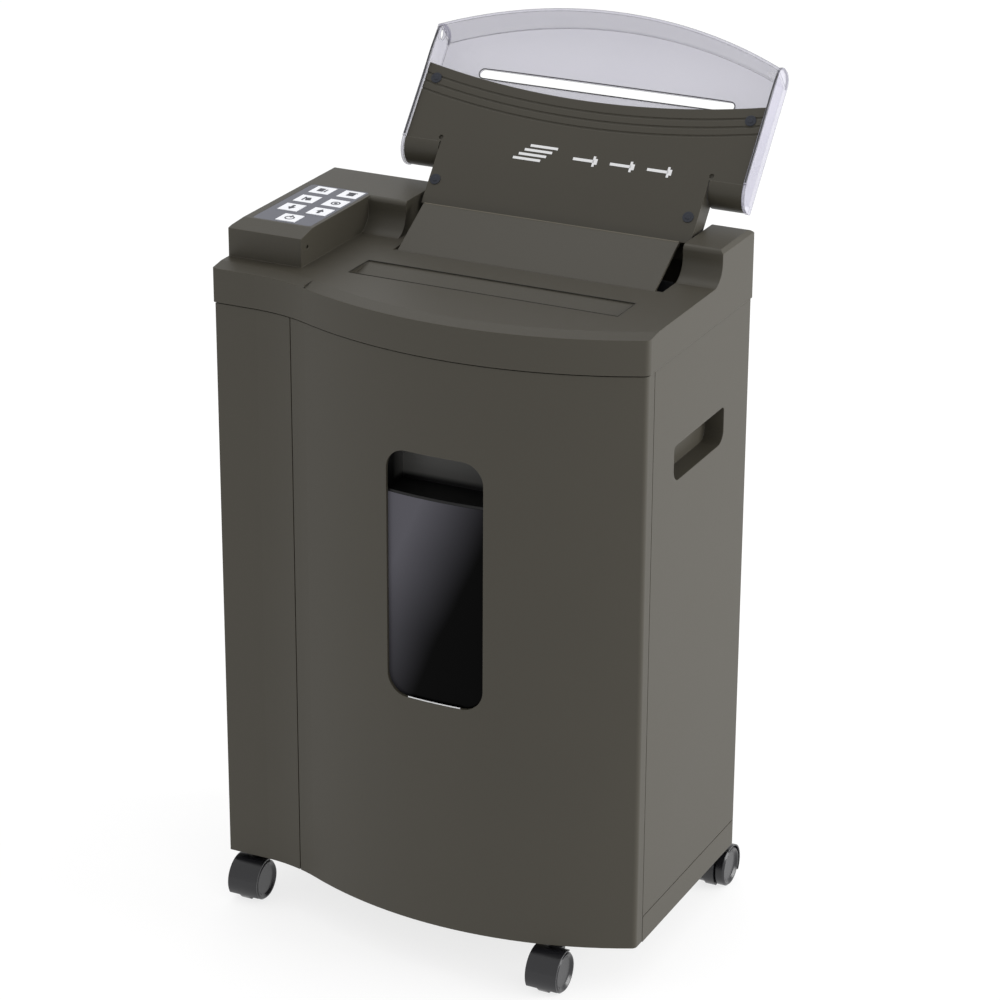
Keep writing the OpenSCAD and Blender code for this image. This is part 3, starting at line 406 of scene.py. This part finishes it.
sheet_steel = metal("sheet_steel", (0.56, 0.57, 0.58), 0.34)
ground_steel = metal("ground_steel", (0.50, 0.50, 0.51), 0.26, stretch=(40.0, 1.0, 1.0))
motor_can = metal("motor_can", (0.20, 0.21, 0.22), 0.40)
sintered_bronze = metal("sintered_bronze", (0.50, 0.33, 0.16), 0.45)
slate_film = printed_film("slate_film", (0.070, 0.074, 0.098), 0.36)
white_key = printed_film("white_key", (0.82, 0.83, 0.87), 0.30)
plate_silver = printed_film("plate_silver", (0.22, 0.22, 0.22), 0.35)
green_board = circuit_board("green_board")
clear_lid = clear_plastic("clear_lid", (0.50, 0.49, 0.58), 0.46)
smoked = smoked_pane("smoked", *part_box("window_pane"))
pocket_grey = grip_grey("pocket_grey", *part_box("grip_pocket"))

# %% Give every node its finish
FINISH_OF_SLOT = {
    "olive_plastic": moulded_olive, "panel_film": slate_film, "white_plastic": white_key,
    "clear_plastic": clear_lid, "smoked_plastic": smoked, "black_plastic": moulded_black,
    "grey_plastic": pocket_grey, "soft_rubber": bumper_rubber, "nylon": nylon,
    "sheet_steel": sheet_steel, "ground_steel": ground_steel, "motor_steel": motor_can,
    "bronze": sintered_bronze, "board": green_board,
}


def dress(thing, material):
    thing.data.materials.clear()
    thing.data.materials.append(material)


for name, thing in frame["nodes"].items():
    dress(thing, FINISH_OF_SLOT[slot_of[name]])
for name, thing in frame["nodes"].items():
    if name.endswith(("_fork", "_wheels", "_axle")):
        dress(thing, caster_black)
dress(floor, pale_floor("pale_floor"))

# %% [markdown]
# ## Tools for small pieces
#
# Every added piece is made from a mesh operator, joined, given its material, and set riding on the body
# that it is fixed to, so that it follows in every pose.

# %% Make, join and mount small pieces
def clear_choice():
    bpy.ops.object.select_all(action="DESELECT")


def block(centre, size, turn=(0, 0, 0)):
    clear_choice()
    bpy.ops.mesh.primitive_cube_add(size=1, location=centre, rotation=turn)
    thing = bpy.context.object
    thing.scale = size
    bpy.ops.object.transform_apply(location=True, rotation=True, scale=True)
    return thing


def disc(centre, radius, height, sides=32, turn=(0, 0, 0)):
    clear_choice()
    bpy.ops.mesh.primitive_cylinder_add(vertices=sides, radius=radius, depth=height, location=centre,
                                        rotation=turn)
    bpy.ops.object.transform_apply(location=True, rotation=True, scale=True)
    return bpy.context.object


def ring(centre, radius, thick, turn=(0, 0, 0), flat=1.0):
    clear_choice()
    bpy.ops.mesh.primitive_torus_add(major_radius=radius, minor_radius=thick, major_segments=48,
                                     minor_segments=10, location=centre, rotation=turn)
    thing = bpy.context.object
    thing.scale = (1, 1, flat)
    bpy.ops.object.transform_apply(location=True, rotation=True, scale=True)
    return thing


def joined(things, name, material, body):
    clear_choice()
    for thing in things:
        thing.select_set(True)
    bpy.context.view_layer.objects.active = things[0]
    if len(things) > 1:
        bpy.ops.object.join()
    thing = bpy.context.object
    thing.name = name
    dress(thing, material)
    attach(thing, body)
    return thing


def softened(thing, width, segments=2):
    """Rounds the edges of a small piece before it is joined."""
    modifier = thing.modifiers.new("round", "BEVEL")
    modifier.width = width
    modifier.segments = segments
    clear_choice()
    thing.select_set(True)
    bpy.context.view_layer.objects.active = thing
    bpy.ops.object.modifier_apply(modifier="round")
    return thing


def tube(points, radius, name, material, body, straight=False, closed=False):
    """A round wire through the points, turned into a mesh."""
    curve = bpy.data.curves.new(name, "CURVE")
    curve.dimensions = "3D"
    curve.bevel_depth = radius
    curve.bevel_resolution = 2
    curve.resolution_u = 6
    spline = curve.splines.new("BEZIER")
    spline.bezier_points.add(len(points) - 1)
    for knot, point in zip(spline.bezier_points, points):
        knot.co = point
        knot.handle_left_type = knot.handle_right_type = "VECTOR" if straight else "AUTO"
    spline.use_cyclic_u = closed
    curve.use_fill_caps = not closed
    thing = bpy.data.objects.new(name, curve)
    bpy.context.scene.collection.objects.link(thing)
    clear_choice()
    thing.select_set(True)
    bpy.context.view_layer.objects.active = thing
    bpy.ops.object.convert(target="MESH")
    return joined([bpy.context.object], name, material, body)


def middle(node):
    low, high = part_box(node)
    return (low + high) / 2


# %% [markdown]
# ## Signs on the keys and lamps
#
# The keys and the lamp windows carry plain signs: a power ring, arrows for forward and reverse, and
# simple shapes for paper, bin, door and motor. Each sign is a film a quarter of a millimetre thick on
# top of its key, so it moves with the key.

# %% Signs
SIGN = 0.25 * MM
SIGN_SINK = 0.02 * MM


def on_top(centre, top, dx=0.0, dy=0.0):
    return (centre.x + dx * MM, centre.y + dy * MM, top + SIGN / 2 - SIGN_SINK)


def power_sign(at):
    return [ring(at(0, -0.4), 3.6 * MM, 0.55 * MM, flat=0.22), block(at(0, 3.0), (1.2 * MM, 4.6 * MM, SIGN))]


def arrow_sign(at, way):
    return [disc(at(0, way * 1.6), 3.6 * MM, SIGN, 3, (0, 0, 0 if way > 0 else math.pi)),
            block(at(0, -way * 2.6), (2.2 * MM, 4.6 * MM, SIGN))]


def paper_sign(at):
    return [block(at(-1.2, 0), (5.0 * MM, 7.4 * MM, SIGN)), block(at(3.4, -0.8), (1.2 * MM, 6.4 * MM, SIGN))]


def bin_sign(at):
    return [block(at(0, -0.8), (6.0 * MM, 6.2 * MM, SIGN)), block(at(0, 3.6), (8.0 * MM, 1.1 * MM, SIGN))]


def door_sign(at):
    return [block(at(-2.6, 0), (1.2 * MM, 8.0 * MM, SIGN)), block(at(1.2, 0), (4.4 * MM, 6.4 * MM, SIGN),
                                                                 (0, 0, 0.35))]


def motor_sign(at):
    return [ring(at(0, 0), 3.4 * MM, 0.6 * MM, flat=0.2), disc(at(0, 0), 1.5 * MM, SIGN)]


def sign_place(centre, top):
    return lambda dx, dy: on_top(centre, top, dx, dy)


for key, make in {"power": power_sign, "forward": lambda at: arrow_sign(at, 1),
                  "reverse": lambda at: arrow_sign(at, -1)}.items():
    place = sign_place(middle(key + "_key"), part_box(key + "_key")[1].z)
    joined(make(place), key + "_sign", ink, key + "_button")

lens_low, lens_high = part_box("indicator_lenses")
LENS_HALF = 8.5 * MM
for index, make in enumerate((paper_sign, bin_sign, door_sign, motor_sign)):
    centre = Vector(((lens_low.x + LENS_HALF, lens_high.x - LENS_HALF)[index % 2],
                     (lens_high.y - LENS_HALF, lens_low.y + LENS_HALF)[index // 2], 0))
    joined(make(sign_place(centre, lens_high.z)), f"lamp_sign_{index}", ink, "machine")
print("signs made")

# %% [markdown]
# ## Sign on the lid's panel
#
# The panel of the lid carries a plain white drawing of a stack of sheets and three arrows. It lies in
# the plane of the swung lid, so a place on the lid is given by how far it is across, along the lid from
# the hinge, and off its face.

# %% Sign on the panel
LID_OPEN = math.radians(130)
PANEL_OFF = 12.5 * MM
hinge = next(Vector(joint["pos_m"]) for joint in frame["record"]["behaviour"]["joints"]
             if joint["name"] == "lid_hinge")
ALONG = Vector((0, -math.cos(LID_OPEN), math.sin(LID_OPEN)))
OFF = Vector((0, -math.sin(LID_OPEN), -math.cos(LID_OPEN)))
LID_TURN = (math.atan2(ALONG.z, ALONG.y), 0, 0)
MARK_LIFT, MARK_THICK = 0.08, 0.2
SHEET_COUNT, SHEET_STEP = 4, 4
ARROW_STARTS, ARROW_ALONG = (10, 42, 74), 52


def on_lid(across, along, off=0.0):
    """Millimetres across from the lid's middle, along from the hinge and off the panel's face."""
    return hinge + Vector((across * MM, 0, 0)) + ALONG * along * MM + OFF * (PANEL_OFF + off * MM)


def lid_bar(across, along, wide, long):
    return block(on_lid(across, along, MARK_LIFT), (wide * MM, long * MM, MARK_THICK * MM), LID_TURN)


marks = [lid_bar(-38 + SHEET_STEP * i, 46 + SHEET_STEP * i, 24, 2.2) for i in range(SHEET_COUNT)]
for start in ARROW_STARTS:
    marks += [lid_bar(start, ARROW_ALONG, 18, 2.4), lid_bar(start + 9, ARROW_ALONG, 2.0, 9),
              lid_bar(start + 11, ARROW_ALONG, 2.0, 5)]
joined(marks, "panel_sign", print_and_highlight_white, "lid")

# %% [markdown]
# ## Sill of the window
#
# A thin pale bead lies along the lower edge of the window, where the pane meets the panel: a painted
# highlight for light caught by the window's lower lip. The panel is a part of a cylinder, so the bead
# follows its curve.

# %% Window bead
PANEL_R = 0.3278
PANEL_MID_X = 0.0325
front_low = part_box("bin_front")[0]


def panel_y(x):
    """Where the front of the panel is at a place across it."""
    return front_low.y + PANEL_R - math.sqrt(PANEL_R ** 2 - (x - PANEL_MID_X) ** 2)


SILL_Z = 0.2379
BEAD_SET_BACK = 0.9 * MM
WINDOW_BEAD_R = 0.55 * MM
bead = [(x * MM, panel_y(x * MM) + BEAD_SET_BACK, SILL_Z) for x in (2, 12, 24, 36, 48)]
tube(bead, WINDOW_BEAD_R, "window_sill_highlight", print_and_highlight_white, "bin")

# %% [markdown]
# ## Fine edges
#
# Light leaves a clear sheet through its edges, so from the front the rims of the lid's side walls and of
# its slot look dark; a dark bead there is painted shade. The top edge of the ramp gets a pale bead, a
# painted highlight. The mouth of the hand-feed slot gets a painted shadow line all round. Each is a thin
# bead set half into the edge it marks.

# %% Beads along edges
LID_RIM_R, SLOT_RIM_R, CREST_R, MOUTH_LINE_R = 0.85 * MM, 0.45 * MM, 0.6 * MM, 0.4 * MM
WALL_ACROSS = 148.65
WALL_RIM = [(52, 2.0), (98, 2.0), (143, 2.0), (151, -0.8), (154.6, -8), (154.6, -13),
            (151.5, -20.4), (144, -23.2)]
for side, name in ((-1, "left"), (1, "right")):
    rim = [on_lid(side * WALL_ACROSS, along, off) for along, off in WALL_RIM]
    tube(rim, LID_RIM_R, f"lid_edge_shade_{name}", painted_edge_shade, "lid")

SLOT_HALF, SLOT_R, SLOT_ALONG, SLOT_OFF = 108, 4.3, 122.6, -21.0
slot_loop = []
for side in (1, -1):
    for degrees in range(-90, 91, 30):
        turn = math.radians(degrees)
        slot_loop.append(on_lid(side * (SLOT_HALF + SLOT_R * math.cos(turn)),
                                SLOT_ALONG + side * SLOT_R * math.sin(turn), SLOT_OFF))
tube(slot_loop, SLOT_RIM_R, "lid_slot_edge_shade", painted_edge_shade, "lid", closed=True)

# A pale bead along the ramp's top edge: a painted highlight.
ramp_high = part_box("feed_ramp")[1]
CREST_BACK = 1.4 * MM
crest = [Vector((x, ramp_high.y - CREST_BACK, ramp_high.z))
         for x in (-75.5 * MM, 35 * MM, 144.8 * MM)]
tube(crest, CREST_R, "ramp_edge_highlight", painted_edge_highlight, "ramp")

TRAY_TOP = 554 * MM
MOUTH_X0, MOUTH_X1, MOUTH_Y0, MOUTH_Y1 = -83 * MM, 145 * MM, -93.4 * MM, -60.4 * MM
mouth = [Vector((x, y, TRAY_TOP)) for x, y in ((MOUTH_X0, MOUTH_Y0), (MOUTH_X1, MOUTH_Y0),
                                               (MOUTH_X1, MOUTH_Y1), (MOUTH_X0, MOUTH_Y1))]
tube(mouth, MOUTH_LINE_R, "mouth_line", seam_shadow, "machine", straight=True, closed=True)

# %% [markdown]
# ## Back of the machine
#
# The rocker gets its two marks, the wall gets six screw heads, and a blank rating plate sits beside the
# cooling slots. The screw heads stand about half a millimetre out of the wall, which is less than the
# head cover overhangs it.

# %% Back details
rocker_low, rocker_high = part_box("switch_rocker")
shell_low, shell_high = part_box("body_shell")
BACK = math.pi / 2
rocker_mid = (rocker_low + rocker_high) / 2
MARK_DEPTH = 0.9 * MM
MARK_RISE = 4.6 * MM


def rocker_spot(rise):
    return (rocker_mid.x, rocker_high.y - MARK_DEPTH, rocker_mid.z + rise)


joined([block(rocker_spot(MARK_RISE), (0.9 * MM, 0.5 * MM, 3.6 * MM)),
        ring(rocker_spot(-MARK_RISE), 1.6 * MM, 0.35 * MM, (BACK, 0, 0))],
       "rocker_marks", print_and_highlight_white, "rocker")
SCREW_R, SCREW_HIGH = 3.2 * MM, 1.4 * MM
SCREW_SINK = 0.1 * MM
SCREW_ACROSS, SCREW_RISE = (-0.92, 0.92), (0.07, 0.5, 0.95)
heads = []
for x in SCREW_ACROSS:
    for z in SCREW_RISE:
        place = (shell_high.x * x, shell_high.y - SCREW_SINK,
                 shell_low.z + z * (shell_high.z - shell_low.z))
        heads.append(softened(disc(place, SCREW_R, SCREW_HIGH, 32, (BACK, 0, 0)), 0.4 * MM))
joined(heads, "back_screws", caster_black, "machine")
PLATE_SIZE = (70 * MM, 0.4 * MM, 42 * MM)
plate_spot = (0.080, shell_high.y + 0.05 * MM, shell_low.z + 0.62 * (shell_high.z - shell_low.z))
joined([softened(block(plate_spot, PLATE_SIZE), 0.15 * MM)], "rating_plate", plate_silver,
       "machine")

# %% [markdown]
# ## Wiring inside the head
#
# Two wires run from the control board to the motor and two from the gland to the board, as they would in
# the real machine. They sag a little between their ends.

# %% Wires
board_low, board_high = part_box("control_board")
motor_low, motor_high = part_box("motor")
gland = middle("cord_gland")
WIRE_R = 1.1 * MM
WIRE_PITCH = 6 * MM
WIRE_SAG = 6 * MM
BOARD_INSET, MOTOR_INSET = 8 * MM, 30 * MM
for index, material in enumerate((red_wire, ink)):
    step = index * WIRE_PITCH
    start = Vector((board_high.x - BOARD_INSET, (board_low.y + board_high.y) / 2 + step, board_low.z - 1 * MM))
    end = Vector((motor_high.x - MOTOR_INSET, motor_low.y + 10 * MM + step, motor_high.z + 1 * MM))
    sag = (start + end) / 2 + Vector((0, 0, -WIRE_SAG))
    tube([start, sag, end], WIRE_R, f"motor_wire_{index}", material, "machine")
    tip = Vector((gland.x, gland.y - 8 * MM, gland.z + step - 3 * MM))
    up = Vector((gland.x + step, gland.y - 22 * MM, gland.z + 20 * MM))
    tube([tip, up, start + Vector((-10 * MM, 20 * MM, 0))], WIRE_R, f"mains_wire_{index}", material,
         "machine")
